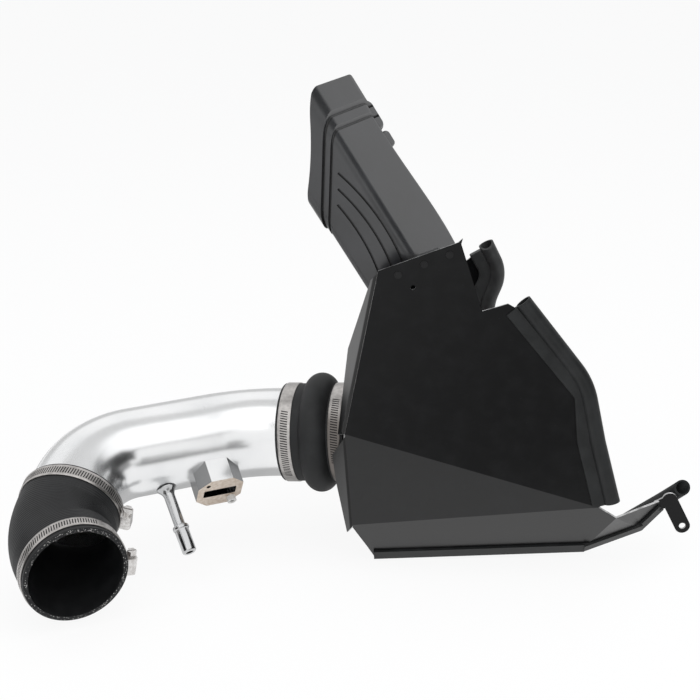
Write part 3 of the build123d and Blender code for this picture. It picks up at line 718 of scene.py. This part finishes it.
def slotted_band(name, node, centre, axis, radius, toward, slots, steel):
    """A clamp band with one stretch of punched slots, which is given in degrees from the housing."""
    side = (toward - axis * toward.dot(axis)).normalized()
    up = axis.cross(side)
    outer = radius + band_thickness
    pitches = round(2 * pi * outer / slot_pitch)
    step = 2 * pi / pitches
    gap = slot_gap / outer
    half = band_width / 2
    edge = [(half, radius), (half, outer - band_curl / 2), (half - band_curl, outer), (slot_reach, outer)]
    levels = [(-height, distance) for height, distance in edge] + edge[::-1]
    slot_level = len(edge) - 1
    points, faces = [], []

    def spot(angle, height, distance):
        if abs(height) <= slot_reach:
            angle += slot_slant / outer * height / slot_reach
        points.append(centre + axis * height + (side * cos(angle) + up * sin(angle)) * distance)
        return len(points) - 1

    columns = []
    for p in range(pitches):
        for angle in (p * step, p * step + gap):
            columns.append([spot(angle, height, distance) for height, distance in levels])
    for c, a in enumerate(columns):
        b = columns[(c + 1) % len(columns)]
        start = (c // 2) * step
        stop = start + gap
        degrees = (c // 2) * 360.0 / pitches
        punched = c % 2 == 0 and slots[0] <= degrees <= slots[1]
        for r in range(len(levels)):
            s = (r + 1) % len(levels)
            top = (a[r], b[r], b[s], a[s])
            if r == slot_level and punched:
                corners = (
                    (start, -slot_reach), (stop, -slot_reach),
                    (stop, slot_reach), (start, slot_reach),
                )
                low = tuple(spot(angle, height, outer - slot_depth) for angle, height in corners)
                for i in range(4):
                    j = (i + 1) % 4
                    faces.append(((top[i], top[j], low[j], low[i]), 1))
                faces.append((low, 1))
            else:
                faces.append((top, 0))
    piece = shaped(name, points, faces, [steel, slot_finish])
    turn_outward(piece.data)
    piece.data.set_sharp_from_angle(angle=radians(band_crease))
    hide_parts(node)


elbow_seat = hose_bore + elbow_wall + hose_fit
hump_seat = hose_bore + hump_wall + hose_fit
filter_seat = hose_bore + filter_wall + hose_fit
band_inset = band_edge + band_width / 2
neck_start = flange_stop + band_edge
for name, centre, axis, seat, toward, slots, steel in (
    (
        "elbow_tube_clamp", elbow_end - elbow_out * band_inset, elbow_out, elbow_seat,
        Vector((1, -0.2, -0.25)), (170, 345), plain_band,
    ),
    (
        "elbow_throttle_clamp", throttle_mouth + elbow_in * (band_inset + band_edge), elbow_in, elbow_seat,
        Vector((1, 0.6, -0.15)), (140, 290), plain_band,
    ),
    (
        "hump_tube_clamp", tube_end + tube_way * (hose_start + band_inset), tube_way, hump_seat,
        Vector((0, 0.5, -1)), (195, 280), plain_band,
    ),
    (
        "hump_adapter_clamp", tube_end + tube_way * (hose_stop - band_inset), tube_way, hump_seat,
        Vector((0, 1, 0.4)), (94, 172), shaded_band,
    ),
    (
        "filter_clamp", tube_end + tube_way * (neck_start + band_inset), tube_way, filter_seat,
        Vector((0, 0.6, 1)), (90, 270), plain_band,
    ),
):
    slotted_band(name + "_slotted", name + "_band", centre, axis, seat, toward, slots, steel)
    dressed(name + "_housing", [housing_finish], housing_round)
    dressed(name + "_screw", [housing_finish], screw_round)

# Filter adapter: an aluminium stub with a flange. A ring of pan-head screws holds the flange against the
# side panel, so that the hump hose and the filter share one stub.
spun_dull = (0.66, 0.66, 0.66, 1)
spun_bright = (0.75, 0.75, 0.75, 1)
adapter_round = 0.0004
adapter_screw_round = 0.0005
adapter_finish = mottled_finish(
    "spun_aluminium", (spun_dull, spun_bright), patches=90.0, roughness=(0.3, 0.45), grain=600.0,
    Metallic=1.0,
)
dressed("filter_adapter", [adapter_finish], adapter_round)
dressed("adapter_screws", [housing_finish], adapter_screw_round)

# Cone filter: a moulded rubber neck and base, oiled cotton gauze folded in pleats under a wire mesh, and a
# rubber end cap. It is clamped on the adapter's inner stub, inside the shield.
filter_black = (0.028, 0.028, 0.030, 1)
gauze_deep = (0.26, 0.030, 0.026, 1)
gauze_light = (0.46, 0.075, 0.06, 1)
wire_scale = 420.0
filter_round = 0.0012
pleat_crease = 25.0
filter_rubber = rubber_finish("filter_rubber", filter_black, roughness=0.55, grain=1400.0)
dressed("filter_base", [filter_rubber], filter_round)
dressed("filter_cap", [filter_rubber], filter_round)
gauze_finish, gauze, place = new_finish("oiled_gauze", Specular_IOR_Level=0.25)
mesh_edges = {"feature": "DISTANCE_TO_EDGE"}
weave = place.make("TexVoronoi", mesh_edges, {"Vector": place, "Scale": wire_scale, "Randomness": 0.35})
oil = spread(blotches(place, 50.0), 0.3, 0.7)
between(oil, gauze_deep, gauze_light).into(gauze.inputs["Base Color"])
(0.75 - oil * 0.15).into(gauze.inputs["Roughness"])
relief(gauze, spread(weave, 0.03, 0.09), strength=0.6, depth=0.0006)
dressed("filter_media", [gauze_finish], 0.0, crease=pleat_crease)

# Heat shield: steel sheet, cut and folded, with a semi-gloss black coat that has a slight orange peel. The
# cut faces are bare metal, and the same bright finish on the bevels of every sharp edge is a painted
# highlight. The front panel carries the arm and its mounting tab.
coat_black = (0.0040, 0.0041, 0.0044, 1)
coat_worn = (0.0090, 0.0092, 0.0098, 1)
edge_dull = (0.30, 0.30, 0.30, 1)
edge_bright = (0.75, 0.75, 0.75, 1)
sheet_thickness = 0.002
cut_face_width = sheet_thickness * 1.3
frontal_face = 0.99
sideways_face = 0.9
edge_highlight_bevel = 0.0009
sheet_crease = 12.0
cut_corner = 60.0
panel_lean = radians(7.0)
face_way = Vector((0, -cos(panel_lean), sin(panel_lean)))
shade_line_from, shade_line_to = 0.0020, 0.0030


def past_lines(place, shade_lines):
    """How far a place lies out past some straight lines, each given as a point and the way out from it."""
    furthest = None
    for point, way in shade_lines:
        along = place.make("VectorMath", {"operation": "DOT_PRODUCT"}, {0: place, 1: way}, "Value")
        past = along - point.dot(way)
        furthest = past if furthest is None else past.maths("MAXIMUM", past, furthest)
    return furthest


def coat_finish(name, gloss, shade_lines=()):
    """Black coat with faint scuffs, fine peel and a few motes of dust, with painted shade, dark and dull,
    along its shade lines.
    """
    finish, shader, place = new_finish(name, Specular_IOR_Level=gloss)
    scuffs = blotches(place, 60.0, detail=6.0, roughness=0.6)
    specks = place.make("TexVoronoi", {}, {"Vector": place, "Scale": 95.0, "Randomness": 1.0})
    motes = spread(specks, 0.075, 0.05)
    colour = between(spread(scuffs, 0.45, 0.8) * 0.6 + motes, coat_black, coat_worn)
    roughness = 0.30 + spread(scuffs, 0.4, 0.8) * 0.05
    # Painted shade: the colour goes dark within a few millimetres of the given lines, for the shade in a
    # gap.
    if shade_lines:
        clear = spread(past_lines(place, shade_lines), shade_line_from, shade_line_to)
        colour = between(clear, black, colour)
        roughness = roughness + (1 - clear) * 0.7
    colour.into(shader.inputs["Base Color"])
    roughness.into(shader.inputs["Roughness"])
    relief(shader, blotches(place, 700.0, detail=2.0), strength=0.10, depth=0.0003)
    return finish


def sheet_side(body):
    """Numbers a sheet's faces: 1 for narrow cut ones, 2 for those in the front face, 0 for the others."""
    mesh = body.data
    stretches = {}

    def stretch_of(face):
        normal = face.normal
        return tuple(round(n, 2) for n in normal), round(normal.dot(face.center), 4)

    for face in mesh.polygons:
        stretches.setdefault(stretch_of(face), []).append(face)
    widths = {}
    for stretch, faces in stretches.items():
        corners = [mesh.vertices[i].co for face in faces for i in face.vertices]
        low = Vector(min(corner[axis] for corner in corners) for axis in range(3))
        high = Vector(max(corner[axis] for corner in corners) for axis in range(3))
        widths[stretch] = sum(face.area for face in faces) / (high - low).length

    def number(face):
        frontal = face.normal.dot(face_way)
        if widths[stretch_of(face)] < cut_face_width and frontal < sideways_face:
            return 1
        return 2 if frontal > frontal_face else 0

    return number


fold_coat = coat_finish("black_coat", gloss=0.50)
face_coat = coat_finish("black_face_coat", gloss=0.22)
# Bare metal on the cut faces, and a painted highlight on the bevels of the sharp edges.
bare_edge_highlight_finish = mottled_finish(
    "bare_edge_highlight", (edge_dull, edge_bright), patches=120.0, roughness=(0.35, 0.55), grain=500.0,
    contrast=(0.35, 0.65), Metallic=0.8,
)
for node in ("front_panel", "side_panel", "rear_panel"):
    coats = [fold_coat, bare_edge_highlight_finish, face_coat]
    dressed(node, coats, edge_highlight_bevel, sheet_side(nodes[node]), sheet_crease, cut_corner, bevel_number=1)

# Side return: a narrow folded strip behind the panel's left edge, in the same coat with more gloss. A thin
# dark line in its coat, along the panel's edge, stands for the shade in the gap between the two sheets.
return_round = 0.0005
panel_fold = ground + Vector((-0.005, 0, 0.150))
panel_hip = ground + Vector((0.002, 0.003, 0.053))
left_edge_shift = 0.031
left_edge_rise = 0.157
upper_edge = Vector((left_edge_shift, left_edge_rise * sin(panel_lean), left_edge_rise * cos(panel_lean)))
upper_way = face_way.cross(upper_edge).normalized()
lower_way = face_way.cross(panel_fold - panel_hip).normalized()
panel_shade_lines = [(panel_fold, upper_way), (panel_fold, lower_way)]
return_coat = coat_finish("black_return_coat", gloss=1.0, shade_lines=panel_shade_lines)
return_side = sheet_side(nodes["side_return"])
coats = [return_coat, bare_edge_highlight_finish, face_coat]
dressed("side_return", coats, return_round, return_side, sheet_crease, cut_corner, bevel_number=1)

# Edge seals: extruded rubber with a ribbed grip on the sheet edge and a hollow bulb, pushed on by hand. The
# one on the rear wall is paler, with painted light, as it is lit from above and behind.
seal_black = (0.010, 0.0108, 0.0110, 1)
seal_painted_light = (0.030, 0.031, 0.031, 1)
seal_round = 0.0004
seal_crease = 38.0
seal_finish = rubber_finish("extruded_seal", seal_black, roughness=0.48, grain=1600.0)
lit_seal_finish = rubber_finish("painted_light_seal", seal_painted_light, roughness=0.48, grain=1600.0)
for node, finish in (("right_seal", seal_finish), ("rim_seal", seal_finish), ("rear_seal", lit_seal_finish)):
    dressed(node, [finish], seal_round, crease=seal_crease)

# Air scoop: moulded black plastic with a stepped collar, an oblique mouth and grooves down one face, with
# painted shade in the grooves and other crevices. Black blind rivets through the front panel hold its
# tongue.
scoop_black = (0.016, 0.0166, 0.0180, 1)
scoop_grey = (0.030, 0.031, 0.034, 1)
painted_crevice_shade = (0.002, 0.002, 0.002, 1)
groove_reach = 0.005
rivet_black = (0.004, 0.004, 0.0044, 1)
scoop_round = 0.0009
scoop_crease = 25.0
rivet_round = 0.0005
scoop_finish, moulded, place = new_finish("moulded_plastic", Specular_IOR_Level=0.9)
flow = blotches(place, 18.0, detail=5.0, roughness=0.55)
skin = between(spread(flow, 0.35, 0.75), scoop_black, scoop_grey)
# Painted shade: an occlusion mask darkens the colour in the grooves and other crevices.
crevice = {"samples": 8, "only_local": True}
open_air = spread(place.make("AmbientOcclusion", crevice, {"Distance": groove_reach}, "AO"), 0.55, 0.95)
between(open_air, painted_crevice_shade, skin).into(moulded.inputs["Base Color"])
(0.28 + flow * 0.12 + (1 - open_air) * 0.4).into(moulded.inputs["Roughness"])
relief(moulded, blotches(place, 1300.0, detail=2.0), strength=0.12, depth=0.0003)
dressed("air_scoop", [scoop_finish], scoop_round, crease=scoop_crease)
rivet_finish = rubber_finish("black_rivets", rivet_black, roughness=0.3, grain=900.0)
dressed("scoop_rivets", [rivet_finish], rivet_round)
